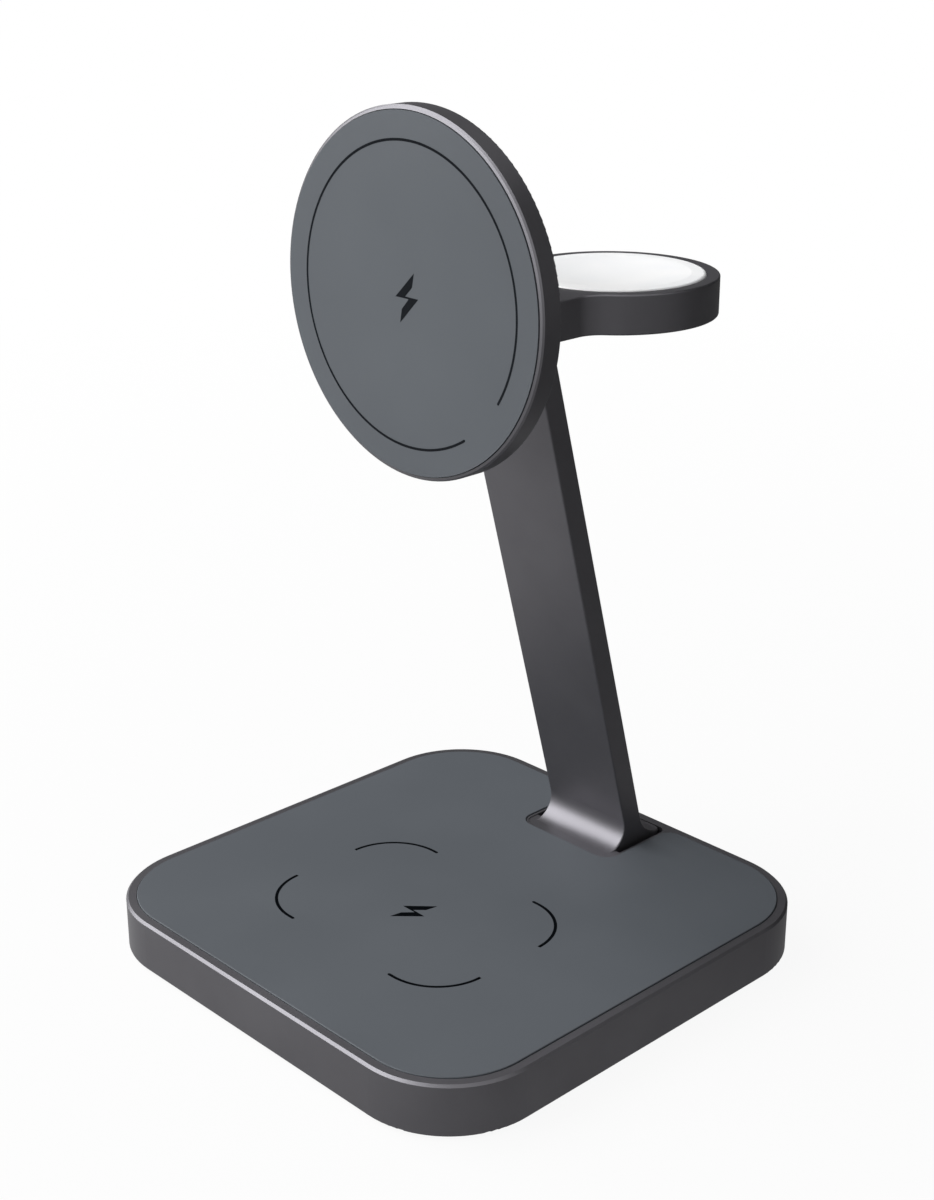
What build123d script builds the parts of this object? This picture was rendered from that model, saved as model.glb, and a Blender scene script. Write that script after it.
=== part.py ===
from build123d import *
import os
from math import cos, radians, sin, sqrt, tan

# Three in one charging stand, in millimetres. A square base carries an earbud pad, a flat
# leaning stem carries a round magnetic phone pad on a friction hinge, and an arm at the top
# carries a ring with a watch puck. +Z is up, -Y is the side the phone faces, and the origin
# is the centre of the anti-slip mat's underside.

# Base frame and top panel
base_side = 90.0
base_corner_r = 16.7
base_height = 9.0
rim_width = 1.75
ledge_width = 1.8
edge_bevel = 0.4
underside_round = 0.4
panel_thick = 1.9
panel_proud = 0.2
panel_gap = 0.1
panel_edge = 0.1

# Anti-slip mat, bottom cover and counterweight
mat_proud = 0.6
mat_thick = 1.0
mat_inset = 4.0
mat_edge = 0.2
cover_thick = 1.4
cover_inset = 1.5
cover_gap = 0.1
weight_thick = 2.6
weight_side_gap = 8.45
weight_front_gap = 8.15
weight_board_gap = 3.3
weight_corner_r = 9.0
weight_edge = 0.3

# Corner bosses and the screws that close the base
boss_wall_overlap = 1.0
boss_mat_margin = 0.5
cover_screw_r = 1.0
cover_screw_head_r = 1.9
cover_screw_length = 5.0
thread_gap = 0.05
screw_gap = 0.15
socket_share = 0.55

# Pocket in the frame for the foot of the stem, with a thin lip around it
lip_reach = 18.4
lip_width = 0.45
slot_width = 1.15
lip_corner_r = 2.6
lip_blend_r = 2.8
rear_rim = 2.0
deck_inlet_gap = 0.14
deck_margin = 2.4
foot_gap = 0.1
rib_thick = 1.6

# Stem: a flat bar that leans forward, with a filleted foot
stem_width = 18.3
stem_depth = 4.28
stem_lean = 15.1
stem_setback = 8.6
toe_length = 3.4
toe_drop = 0.1
toe_corner_r = 1.9
heel_corner_r = 1.3
foot_front_r = 3.9
foot_rear_r = 5.4
fillet_share = 0.95
stem_edge_round = 0.25
channel_width = 8.0
channel_depth = 2.0
channel_start = 16.0
strip_thick = 0.8
fit_gap = 0.1
foot_screw_r = 1.25
foot_screw_head_r = 2.2
foot_screw_head_thick = 1.3
foot_screw_edge = 2.55
foot_screw_depth = 4.5

# Watch arm and ring
arm_top_height = 111.1
ring_thick = 6.55
ring_r = 17.6
ring_reach = 25.3
ring_wall = 2.2
arm_blend_r = 5.0
arm_edge_round = 0.3
puck_raise = 0.2
puck_height = 3.4
puck_wall = 1.2
puck_edge_round = 0.6
dish_rim = 2.5
dish_depth = 0.7
dish_floor = 0.9
ring_ledge = 1.5
watch_board_thick = 0.8
watch_ferrite_thick = 0.6
watch_coil_thick = 0.9
watch_coil_side_gap = 1.2
watch_magnet_r = 4.4
watch_magnet_gap = 1.0
watch_cover_thick = 1.2
watch_cover_inset = 1.3
watch_cover_screw_r = 0.7
watch_cover_screw_head_r = 1.2
watch_cover_screw_length = 2.1
watch_cover_screw_edge = 1.55
watch_cover_screw_angles = (90, 210, 330)
groove_depth = 1.0
arm_screw_r = 1.1
arm_screw_head_r = 1.9
arm_screw_head_thick = 1.1
arm_screw_edge = 2.45
arm_screw_depth = 4.4

# Phone pad
pad_r = 28.19
pad_thick = 3.76
pad_rise = 6.92
pad_rim = 0.63
pad_rim_fall = 0.15
pad_rim_bevel = 0.25
pad_back_round = 0.2
pad_ledge = 0.9
pad_wall = 1.0
face_thick = 1.1
face_proud = 0.2
face_gap = 0.12
pad_ferrite_thick = 0.8
pad_air = 0.06
magnet_count = 16
magnet_width = 2.9
magnet_air = 0.36
magnet_split = 0.5
magnet_clear = 0.2
pad_coil_in_r = 10.5
pad_coil_side_gap = 1.6

# Friction hinge behind the phone pad
knuckle_r = 4.2
knuckle_width = 8.0
knuckle_clear = 0.28
hinge_reach = 7.26
pin_r = 1.5
pin_play = 0.05
washer_thick = 0.4
washer_r = 3.4
side_play = 0.03
ear_thick = 3.0
pin_head_r = 2.6
pin_head_thick = 1.2
pin_recess = 1.4
pin_recess_clear = 0.13
nut_across = 4.8
bracket_r = 13.0
bracket_thick = 1.8
bracket_round = 0.5
bracket_screw_r = 1.0
bracket_screw_head_r = 1.8
bracket_screw_ring_r = 10.0
bracket_screw_depth = 1.4
bracket_screw_count = 3
bracket_screw_start = 30

# Earbud coil under the front of the base panel
bud_coil_y = -9.8
bud_coil_r = 20.0
bud_coil_in_r = 9.0
coil_thick = 1.0
bud_ferrite_margin = 1.0
ferrite_thick = 0.8

# Circuit board and power inlet
board_thick = 0.8
board_lift = 0.3
board_width = 60.0
board_depth = 8.0
board_deck_gap = 0.2
board_tail_width = 16.0
board_pad_r = 1.6
board_part_gap = 1.4
inductor_side = 6.0
inductor_height = 3.0
inductor_spacing = 9.0
inductor_corner_r = 1.2
inductor_edge = 0.35
inductor_count = 3
chip_side = 5.0
chip_height = 0.9
chip_spacing = 8.0
chip_setback = 0.8
chip_count = 3
cap_length = 3.2
cap_width = 1.6
cap_height = 1.3
cap_spacing = 2.6
cap_count = 3
inlet_width = 8.94
inlet_height = 3.16
inlet_shell = 0.3
inlet_depth = 7.2
inlet_recess = 0.3
inlet_clear = 0.2
inlet_base_thick = 1.2
inlet_tongue_width = 6.7
inlet_tongue_thick = 0.7
inlet_tongue_edge = 0.2
inlet_tongue_length = 4.9
cable_width = 6.0
cable_thick = 0.5
cable_bend_r = 1.0
cable_slot_thick = 1.5
cable_tail = 2.5
cable_socket_length = 3.2
cable_socket_width = 8.4
cable_socket_height = 1.4

# Levels that follow from the sizes above
frame_bottom = mat_proud
frame_top = frame_bottom + base_height
panel_top = frame_top + panel_proud
ledge_top = panel_top - panel_thick
cover_top = frame_bottom + cover_thick
toe_top = frame_top - toe_drop
heel_top = frame_top
board_bottom = cover_top + board_lift
board_top = board_bottom + board_thick
deck_bottom = board_top + inlet_height + deck_inlet_gap
deck_thick = ledge_top - deck_bottom
arm_top = frame_bottom + arm_top_height
arm_bottom = arm_top - ring_thick
hinge_z = arm_top - knuckle_r
pad_z = hinge_z + pad_rise
mat_recess = mat_thick - mat_proud

# Places in plan that follow from them
half_base = base_side / 2
inner_inset = rim_width + ledge_width
pocket_half = stem_width / 2 + slot_width
lip_half = pocket_half + lip_width
lip_front_y = half_base - lip_reach
pocket_front_y = lip_front_y + lip_width
pocket_back_y = half_base - rear_rim
toe_front_y = pocket_front_y + foot_gap
toe_back_y = toe_front_y + toe_length
heel_y = pocket_back_y - foot_gap
stem_front_y = half_base - stem_setback
lean = tan(radians(stem_lean))
hanging = (Align.CENTER, Align.CENTER, Align.MAX)
standing = (Align.CENTER, Align.CENTER, Align.MIN)


def front_face_y(z):
    """Y of the stem's front face at height z."""
    return stem_front_y - lean * (z - frame_bottom)


def back_face_y(z):
    """Y of the stem's back face at height z."""
    return front_face_y(z) + stem_depth


def inset_square(inset):
    """The base outline moved inwards, drawn in the sketch that is open."""
    side = base_side - 2 * inset
    RectangleRounded(side, side, base_corner_r - inset)


def panel_outline(sketch, gap):
    """The panel's outline, a gap inside its recess, with the notch for the stem's foot."""
    inset_square(rim_width + gap)
    half = lip_half + gap
    front = lip_front_y - gap
    with Locations((0, (front + half_base) / 2)):
        Rectangle(2 * half, half_base - front, mode=Mode.SUBTRACT)
    corners = sketch.vertices().filter_by(lambda v: abs(abs(v.X) - half) < 0.01)
    fillet(corners.sort_by(Axis.Y)[:2], lip_corner_r + gap)
    corners = sketch.vertices().filter_by(lambda v: abs(abs(v.X) - half) < 0.01)
    fillet(corners.sort_by(Axis.Y)[-2:], lip_blend_r - gap)


# Metal base frame: outer wall, ledge for the panel, deck and pocket for the stem
boss_reach = base_corner_r - mat_inset - cover_screw_head_r - boss_mat_margin
boss_r = base_corner_r - inner_inset - boss_reach + boss_wall_overlap
boss_at = half_base - base_corner_r + boss_reach / sqrt(2)
deck_front_y = lip_front_y - deck_margin
deck_half = lip_half + deck_margin
inlet_z = board_top + inlet_height / 2
foot_screw_tip = ledge_top + foot_screw_depth
foot_screw_y = (front_face_y(foot_screw_tip) + back_face_y(foot_screw_tip)) / 2
foot_screw_spacing = stem_width - 2 * foot_screw_edge
cable_rise = cable_thick / cos(radians(stem_lean)) + thread_gap
cable_bend_z = frame_bottom + channel_start + 2 * cable_thick
cable_back_y = back_face_y(cable_bend_z) - channel_depth + cable_rise
cable_drop_y = cable_back_y - cable_thick / 2

with BuildPart() as base_frame:
    with BuildSketch(Plane.XY.offset(frame_bottom)):
        inset_square(0)
    extrude(amount=base_height)
    chamfer(base_frame.faces().sort_by(Axis.Z)[-1].edges(), edge_bevel)
    fillet(base_frame.faces().sort_by(Axis.Z)[0].edges(), underside_round)
    with BuildSketch(Plane.XY.offset(ledge_top)) as recess:
        panel_outline(recess, 0)
    extrude(amount=frame_top - ledge_top, mode=Mode.SUBTRACT)
    with BuildSketch(Plane.XY.offset(frame_bottom)):
        inset_square(inner_inset)
    extrude(amount=ledge_top - frame_bottom, mode=Mode.SUBTRACT)
    with BuildSketch(Plane.XY.offset(frame_bottom)):
        inset_square(cover_inset - cover_gap)
    extrude(amount=cover_thick, mode=Mode.SUBTRACT)
    # Corner bosses for the screws of the bottom cover
    with BuildSketch(Plane.XY.offset(cover_top)):
        with GridLocations(2 * boss_at, 2 * boss_at, 2, 2):
            Circle(boss_r)
    extrude(amount=ledge_top - cover_top)
    # Deck under the stem, joined to the rear wall, with a rib down each side
    with BuildSketch(Plane.XY.offset(deck_bottom)):
        with Locations((0, (deck_front_y + pocket_back_y) / 2)):
            Rectangle(2 * deck_half, pocket_back_y - deck_front_y)
    extrude(amount=deck_thick)
    with BuildSketch(Plane.XY.offset(cover_top)):
        with Locations((0, (deck_front_y + pocket_back_y) / 2)):
            with GridLocations(2 * deck_half - rib_thick, 1, 2, 1):
                Rectangle(rib_thick, pocket_back_y - deck_front_y)
    extrude(amount=deck_bottom - cover_top)
    # Pocket for the foot, and the deep slots left open beside it
    with BuildSketch(Plane.XY.offset(ledge_top)) as pocket:
        with Locations((0, (pocket_front_y + pocket_back_y) / 2)):
            Rectangle(2 * pocket_half, pocket_back_y - pocket_front_y)
        fillet(pocket.vertices().sort_by(Axis.Y)[:2], toe_corner_r + foot_gap)
        fillet(pocket.vertices().sort_by(Axis.Y)[-2:], heel_corner_r + foot_gap)
    extrude(amount=frame_top - ledge_top, mode=Mode.SUBTRACT)
    slot_length = heel_y - heel_corner_r - toe_back_y
    with BuildSketch(Plane.XY.offset(deck_bottom)):
        with Locations((0, toe_back_y + slot_length / 2)):
            with GridLocations(stem_width + slot_width, 1, 2, 1):
                Rectangle(slot_width, slot_length)
    extrude(amount=deck_thick, mode=Mode.SUBTRACT)
    # Opening in the rear wall for the power inlet
    with BuildSketch(Plane((0, half_base, inlet_z), x_dir=(1, 0, 0), z_dir=(0, 1, 0))):
        SlotOverall(inlet_width + 2 * inlet_clear, inlet_height + 2 * inlet_clear)
    extrude(amount=-inner_inset, mode=Mode.SUBTRACT)
    # Holes: stem screws and flat cable through the deck, cover screws in the bosses
    with Locations((0, foot_screw_y, ledge_top)):
        with GridLocations(foot_screw_spacing, 1, 2, 1):
            Hole(foot_screw_r + screw_gap, depth=deck_thick)
    with BuildSketch(Plane.XY.offset(deck_bottom)):
        with Locations((0, cable_drop_y)):
            Rectangle(cable_width + 2 * screw_gap, cable_slot_thick)
    extrude(amount=deck_thick, mode=Mode.SUBTRACT)
    with BuildSketch(Plane.XY.offset(cover_top)):
        with GridLocations(2 * boss_at, 2 * boss_at, 2, 2):
            Circle(cover_screw_r + thread_gap)
    extrude(amount=cover_screw_length - cover_thick + mat_recess + screw_gap, mode=Mode.SUBTRACT)

# Top panel, laid in its recess and a little proud of the rim around it
with BuildPart() as base_top_panel:
    with BuildSketch(Plane.XY.offset(ledge_top)) as panel_shape:
        panel_outline(panel_shape, panel_gap)
    extrude(amount=panel_thick)
    chamfer(base_top_panel.faces().sort_by(Axis.Z)[-1].edges(), panel_edge)

# Bottom cover, with a shallow recess for the mat and low pads under the circuit board
board_back_y = deck_front_y - board_deck_gap
board_front_y = board_back_y - board_depth
board_middle_y = (board_front_y + board_back_y) / 2
board_pad_x = board_width / 2 - 2 * board_pad_r
with BuildPart() as bottom_cover:
    with BuildSketch(Plane.XY.offset(frame_bottom)):
        inset_square(cover_inset)
    extrude(amount=cover_thick)
    with BuildSketch(Plane.XY.offset(frame_bottom)):
        inset_square(mat_inset - cover_gap)
    extrude(amount=mat_recess, mode=Mode.SUBTRACT)
    with BuildSketch(Plane.XY.offset(cover_top)):
        with Locations((-board_pad_x, board_middle_y), (board_pad_x, board_middle_y)):
            Circle(board_pad_r)
        with Locations((0, board_middle_y)):
            Circle(board_pad_r)
    extrude(amount=board_lift)
    with Locations(Plane((0, 0, frame_bottom + mat_recess), z_dir=(0, 0, -1))):
        with GridLocations(2 * boss_at, 2 * boss_at, 2, 2):
            CounterSinkHole(cover_screw_r + screw_gap, cover_screw_head_r + screw_gap)

# Silicone mat that the stand rests on
with BuildPart() as anti_slip_mat:
    with BuildSketch():
        inset_square(mat_inset)
    extrude(amount=mat_thick)
    chamfer(anti_slip_mat.faces().sort_by(Axis.Z)[0].edges(), mat_edge)


def flat_head_screw(shank_r, head_r, length):
    """A countersunk screw, its head flush with the local plane and its shank below it."""
    Cylinder(shank_r, length, align=hanging)
    Cone(shank_r, head_r, head_r - shank_r, align=hanging)


def hex_sockets(plane, places, head_r, depth):
    """Cut the drive sockets of a group of screws whose heads lie in one plane."""
    with BuildSketch(plane) as sockets:
        with Locations(*places):
            RegularPolygon(socket_share * head_r, 6)
    extrude(sockets.sketch, amount=-depth, mode=Mode.SUBTRACT)


corner_places = [(x, y) for x in (-boss_at, boss_at) for y in (-boss_at, boss_at)]
cover_face = Plane((0, 0, frame_bottom + mat_recess), x_dir=(1, 0, 0), z_dir=(0, 0, -1))
with BuildPart() as cover_screws:
    with Locations(cover_face):
        with Locations(*corner_places):
            flat_head_screw(cover_screw_r, cover_screw_head_r, cover_screw_length)
    hex_sockets(cover_face, corner_places, cover_screw_head_r, cover_screw_head_r - cover_screw_r)

# Steel weight on the bottom cover, under the earbud coil
weight_front_y = inner_inset + weight_front_gap - half_base
weight_back_y = board_front_y - weight_board_gap
weight_width = base_side - 2 * (inner_inset + weight_side_gap)
with BuildPart() as counterweight:
    with BuildSketch(Plane.XY.offset(cover_top)):
        with Locations((0, (weight_front_y + weight_back_y) / 2)):
            RectangleRounded(weight_width, weight_back_y - weight_front_y, weight_corner_r)
    extrude(amount=weight_thick)
    chamfer(counterweight.faces().sort_by(Axis.Z)[-1].edges(), weight_edge)

# Earbud coil, stuck under the panel, on its ferrite sheet
coil_bottom = ledge_top - coil_thick
with BuildPart() as earbud_coil:
    with BuildSketch(Plane.XY.offset(coil_bottom)):
        with Locations((0, bud_coil_y)):
            Circle(bud_coil_r)
            Circle(bud_coil_in_r, mode=Mode.SUBTRACT)
    extrude(amount=coil_thick)

with BuildPart() as earbud_ferrite:
    with BuildSketch(Plane.XY.offset(coil_bottom - ferrite_thick)):
        with Locations((0, bud_coil_y)):
            Circle(bud_coil_r + bud_ferrite_margin)
    extrude(amount=ferrite_thick)

# Main circuit board: a bar across the base with a tail that runs under the deck to the inlet
inlet_mouth_y = half_base - inlet_recess
inlet_inner_y = inlet_mouth_y - inlet_depth
board_tail_y = half_base - inner_inset - fit_gap
with BuildPart() as main_board:
    with BuildSketch(Plane.XY.offset(board_bottom)) as board_shape:
        with Locations((0, board_middle_y)):
            Rectangle(board_width, board_back_y - board_front_y)
        with Locations((0, (board_back_y + board_tail_y) / 2)):
            Rectangle(board_tail_width, board_tail_y - board_back_y)
    extrude(amount=board_thick)

# Parts on the board: a row of inductors, a stack of capacitors and a row of chips
parts_start_x = cap_length / 2 + board_part_gap
inductor_x = parts_start_x + inductor_side / 2 + (inductor_count - 1) * inductor_spacing / 2
chip_x = parts_start_x + chip_side / 2 + (chip_count - 1) * chip_spacing / 2
with BuildPart() as power_inductors:
    with BuildSketch(Plane.XY.offset(board_top)):
        with Locations((-inductor_x, board_middle_y)):
            with GridLocations(inductor_spacing, 1, inductor_count, 1):
                RectangleRounded(inductor_side, inductor_side, inductor_corner_r)
    extrude(amount=inductor_height)
    chamfer(power_inductors.faces().group_by(Axis.Z)[-1].edges(), inductor_edge)

with BuildPart() as control_chips:
    with BuildSketch(Plane.XY.offset(board_top)):
        with Locations((chip_x, board_front_y + chip_setback + chip_side / 2)):
            with GridLocations(chip_spacing, 1, chip_count, 1):
                Rectangle(chip_side, chip_side)
    extrude(amount=chip_height)

with BuildPart() as ceramic_capacitors:
    with BuildSketch(Plane.XY.offset(board_top)):
        with Locations((0, board_middle_y)):
            with GridLocations(1, cap_spacing, 1, cap_count):
                Rectangle(cap_length, cap_width)
    extrude(amount=cap_height)

# Power inlet: a drawn metal shell with a contact tongue inside
inlet_plane = Plane((0, inlet_mouth_y, inlet_z), x_dir=(1, 0, 0), z_dir=(0, 1, 0))
with BuildPart() as inlet_shell_tube:
    with BuildSketch(inlet_plane):
        SlotOverall(inlet_width, inlet_height)
    extrude(amount=-inlet_depth)
    with BuildSketch(inlet_plane):
        SlotOverall(inlet_width - 2 * inlet_shell, inlet_height - 2 * inlet_shell)
    extrude(amount=-(inlet_depth - inlet_shell), mode=Mode.SUBTRACT)

inlet_floor = inlet_plane.offset(-(inlet_depth - inlet_shell))
with BuildPart() as inlet_contact_tongue:
    with BuildSketch(inlet_floor):
        SlotOverall(inlet_width - 2 * inlet_shell - 2 * thread_gap,
                    inlet_height - 2 * inlet_shell - 2 * thread_gap)
    extrude(amount=inlet_base_thick)
    with BuildSketch(inlet_floor):
        RectangleRounded(inlet_tongue_width, inlet_tongue_thick, inlet_tongue_edge)
    extrude(amount=inlet_tongue_length)

# Stem: leaning bar with a filleted foot, a cable channel up its back and a hinge knuckle on top
foot_top_y = front_face_y(toe_top)
bar_front_y = toe_front_y + toe_corner_r / 2
channel_half = channel_width / 2
channel_bottom = frame_bottom + channel_start
strip_bottom = channel_bottom + fit_gap
arm_screw_z = (arm_top + arm_bottom) / 2
foot_slot = Plane.XY.offset(ledge_top)
arm_screw_spacing = stem_width - 2 * arm_screw_edge
hinge_y = front_face_y(hinge_z) - hinge_reach


def foot_fillet(radius, room, turn):
    """The radius of a fillet on the foot, which the flat beside it may limit."""
    return min(radius, fillet_share * room / tan(radians(turn / 2)))


front_r = foot_fillet(foot_front_r, foot_top_y - bar_front_y, 90 + stem_lean)
rear_r = foot_fillet(foot_rear_r, heel_y - back_face_y(heel_top), 90 - stem_lean)
with BuildPart() as stem:
    with BuildSketch(Plane.YZ) as side_view:
        with BuildLine():
            Polyline(
                (bar_front_y, ledge_top),
                (bar_front_y, toe_top),
                (foot_top_y, toe_top),
                (front_face_y(arm_top), arm_top),
                (back_face_y(arm_top), arm_top),
                (back_face_y(heel_top), heel_top),
                (heel_y, heel_top),
                (heel_y, ledge_top),
                close=True,
            )
        make_face()
        fillet(side_view.vertices().sort_by_distance((foot_top_y, toe_top))[0], front_r)
        fillet(side_view.vertices().sort_by_distance((back_face_y(heel_top), heel_top))[0], rear_r)
    extrude(amount=stem_width / 2, both=True)
    heel_edges = stem.edges().filter_by(Axis.Z).filter_by(lambda e: e.center().Y > heel_y - fit_gap)
    fillet(heel_edges, heel_corner_r)
    lean_axis = Axis((0, stem_front_y, frame_bottom), (0, -lean, 1))
    fillet(stem.edges().filter_by(lean_axis), stem_edge_round)
    # Toe plate, as wide as the pocket in front of the bar
    with BuildSketch(foot_slot) as toe_shape:
        with Locations((0, (toe_front_y + toe_back_y) / 2)):
            Rectangle(2 * (pocket_half - foot_gap), toe_back_y - toe_front_y)
        fillet(toe_shape.vertices().sort_by(Axis.Y)[:2], toe_corner_r)
    extrude(amount=toe_top - ledge_top)
    # Hinge knuckle that reaches forward from the top of the bar
    knuckle_root_y = front_face_y(hinge_z) + stem_depth / 2
    with BuildSketch(Plane.YZ) as knuckle:
        with Locations((hinge_y, hinge_z)):
            Circle(knuckle_r)
        with Locations(((hinge_y + knuckle_root_y) / 2, hinge_z)):
            Rectangle(knuckle_root_y - hinge_y, 2 * knuckle_r)
    extrude(amount=knuckle_width / 2, both=True)
    with BuildSketch(Plane.YZ):
        with Locations((hinge_y, hinge_z)):
            Circle(pin_r + pin_play)
    extrude(amount=knuckle_width / 2, both=True, mode=Mode.SUBTRACT)
    # Channel for the flat cable, open to the back, and its way down through the foot
    with BuildSketch(Plane.YZ):
        Polygon(
            (back_face_y(channel_bottom) - channel_depth, channel_bottom),
            (back_face_y(channel_bottom) + stem_depth, channel_bottom),
            (back_face_y(arm_top) + stem_depth, arm_bottom + ring_thick / 2),
            (back_face_y(arm_bottom + ring_thick / 2) - channel_depth, arm_bottom + ring_thick / 2),
            align=None,
        )
    extrude(amount=channel_half, both=True, mode=Mode.SUBTRACT)
    with BuildSketch(foot_slot):
        with Locations((0, cable_drop_y)):
            Rectangle(cable_width + 2 * screw_gap, cable_slot_thick)
    extrude(amount=cable_bend_z + cable_thick - ledge_top, mode=Mode.SUBTRACT)
    # Threaded holes for the foot screws and counterbored holes for the arm screws
    with BuildSketch(foot_slot):
        with Locations((0, foot_screw_y)):
            with GridLocations(foot_screw_spacing, 1, 2, 1):
                Circle(foot_screw_r + thread_gap)
    extrude(amount=foot_screw_depth, mode=Mode.SUBTRACT)
    arm_screw_seat_y = back_face_y(arm_screw_z) - stem_depth / 2
    with Locations(Plane((0, arm_screw_seat_y, arm_screw_z), x_dir=(1, 0, 0), z_dir=(0, -1, 0))):
        with GridLocations(arm_screw_spacing, 1, 2, 1):
            Cylinder(arm_screw_head_r + screw_gap, stem_depth, align=standing, mode=Mode.SUBTRACT)
            Cylinder(arm_screw_r + screw_gap, stem_depth, align=hanging, mode=Mode.SUBTRACT)

# Cover strip that closes the channel flush with the back of the stem
strip_top = arm_bottom - fit_gap
with BuildPart() as channel_strip:
    with BuildSketch(Plane.YZ):
        Polygon(
            (back_face_y(strip_bottom) - strip_thick, strip_bottom),
            (back_face_y(strip_bottom), strip_bottom),
            (back_face_y(strip_top), strip_top),
            (back_face_y(strip_top) - strip_thick, strip_top),
            align=None,
        )
    extrude(amount=channel_half - fit_gap, both=True)

# Screws that come up through the deck into the foot of the stem
foot_screw_plane = Plane.XY.offset(deck_bottom)
with BuildPart() as stem_foot_screws:
    with BuildSketch(foot_screw_plane):
        with Locations((0, foot_screw_y)):
            with GridLocations(foot_screw_spacing, 1, 2, 1):
                Circle(foot_screw_r)
    extrude(amount=deck_thick + foot_screw_depth - screw_gap)
    with BuildSketch(foot_screw_plane):
        with Locations((0, foot_screw_y)):
            with GridLocations(foot_screw_spacing, 1, 2, 1):
                Circle(foot_screw_head_r)
                RegularPolygon(socket_share * foot_screw_head_r, 6, mode=Mode.SUBTRACT)
    extrude(amount=-foot_screw_head_thick)

# Watch arm: a ring on an arm as wide as the stem, hollow from below
arm_front_y = front_face_y(arm_top)
ring_y = back_face_y(arm_top) + ring_reach
puck_r = ring_r - ring_wall
arm_meet_y = ring_y - sqrt(ring_r ** 2 - (stem_width / 2) ** 2)
puck_top = arm_top + puck_raise
puck_skirt = puck_top - puck_height
ring_floor = puck_skirt - watch_board_thick
cavity_r = puck_r - ring_ledge
watch_cover_r = ring_r - watch_cover_inset
watch_cover_top = arm_bottom + watch_cover_thick
groove_top = watch_cover_top + groove_depth
back_plane = Plane(
    (0, back_face_y(arm_top), arm_top),
    x_dir=(1, 0, 0),
    z_dir=(0, 1, lean),
)


def cover_outline(sketch, gap):
    """The watch cover's outline: a disc with a tongue that runs forward along the arm."""
    with Locations((0, ring_y)):
        Circle(watch_cover_r - gap)
    tongue_half = stem_width / 2 - watch_cover_inset - gap
    tongue_front = back_face_y(arm_bottom) + watch_cover_inset + gap
    with Locations((0, (tongue_front + ring_y) / 2)):
        Rectangle(2 * tongue_half, ring_y - tongue_front)
    joint_y = ring_y - sqrt((watch_cover_r - gap) ** 2 - tongue_half ** 2)
    joints = sketch.vertices().filter_by(lambda v: abs(v.Y - joint_y) < 0.01)
    fillet(joints, arm_blend_r + watch_cover_inset)


cover_screw_ring_r = watch_cover_r - watch_cover_screw_edge
cover_screw_places = [
    (cover_screw_ring_r * cos(radians(turn)), ring_y + cover_screw_ring_r * sin(radians(turn)))
    for turn in watch_cover_screw_angles
]
with BuildPart() as watch_arm:
    with BuildSketch(Plane.XY.offset(arm_bottom)) as arm_shape:
        with Locations((0, ring_y)):
            Circle(ring_r)
        with Locations((0, (arm_front_y + ring_y) / 2)):
            Rectangle(stem_width, ring_y - arm_front_y)
        fillet(arm_shape.vertices().filter_by(lambda v: abs(v.Y - arm_meet_y) < 0.01), arm_blend_r)
    extrude(amount=ring_thick)
    split(bisect_by=back_plane, keep=Keep.TOP)
    fillet(watch_arm.faces().sort_by(Axis.Z)[-1].edges().filter_by(GeomType.CIRCLE), arm_edge_round)
    fillet(watch_arm.faces().sort_by(Axis.Z)[0].edges().filter_by(GeomType.CIRCLE), arm_edge_round)
    # Seat for the puck from above, its ledge, and the hollow under it
    with BuildSketch(Plane.XY.offset(arm_top)):
        with Locations((0, ring_y)):
            Circle(puck_r + thread_gap)
    extrude(amount=-(arm_top - ring_floor), mode=Mode.SUBTRACT)
    with BuildSketch(Plane.XY.offset(arm_bottom)):
        with Locations((0, ring_y)):
            Circle(cavity_r)
    extrude(amount=ring_floor - arm_bottom, mode=Mode.SUBTRACT)
    # Recess for the bottom cover and the cable groove that it closes
    with BuildSketch(Plane.XY.offset(arm_bottom)) as cover_recess:
        cover_outline(cover_recess, 0)
    extrude(amount=watch_cover_thick, mode=Mode.SUBTRACT)
    with BuildSketch(Plane.XY.offset(watch_cover_top)):
        with Locations((0, (arm_front_y + ring_y) / 2)):
            Rectangle(channel_width, ring_y - arm_front_y)
    extrude(amount=groove_top - watch_cover_top, mode=Mode.SUBTRACT)
    # Threaded holes: three for the bottom cover, two for the screws through the stem
    with BuildSketch(Plane.XY.offset(watch_cover_top)):
        with Locations(*cover_screw_places):
            Circle(watch_cover_screw_r + thread_gap)
    extrude(amount=watch_cover_screw_length - watch_cover_thick + thread_gap, mode=Mode.SUBTRACT)
    arm_hole_end_y = back_face_y(arm_screw_z) + arm_screw_depth
    with BuildSketch(Plane((0, arm_hole_end_y, arm_screw_z), x_dir=(1, 0, 0), z_dir=(0, -1, 0))):
        with GridLocations(arm_screw_spacing, 1, 2, 1):
            Circle(arm_screw_r + thread_gap)
    extrude(amount=arm_screw_depth + stem_depth, mode=Mode.SUBTRACT)

with BuildPart() as watch_cover:
    with BuildSketch(Plane.XY.offset(arm_bottom)) as cover_shape:
        cover_outline(cover_shape, fit_gap)
    extrude(amount=watch_cover_thick)
    with Locations(Plane((0, 0, arm_bottom), x_dir=(1, 0, 0), z_dir=(0, 0, -1))):
        with Locations(*[(x, -y) for x, y in cover_screw_places]):
            CounterSinkHole(
                watch_cover_screw_r + thread_gap,
                watch_cover_screw_head_r + thread_gap,
                counter_sink_angle=90,
            )

# The cover's screws, seen from below
cover_underside = Plane((0, 0, arm_bottom), x_dir=(1, 0, 0), z_dir=(0, 0, -1))
underside_places = [(x, -y) for x, y in cover_screw_places]
with BuildPart() as watch_cover_screws:
    with Locations(cover_underside):
        with Locations(*underside_places):
            flat_head_screw(watch_cover_screw_r, watch_cover_screw_head_r, watch_cover_screw_length)
    hex_sockets(
        cover_underside,
        underside_places,
        watch_cover_screw_head_r,
        watch_cover_screw_head_r - watch_cover_screw_r,
    )

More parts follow.
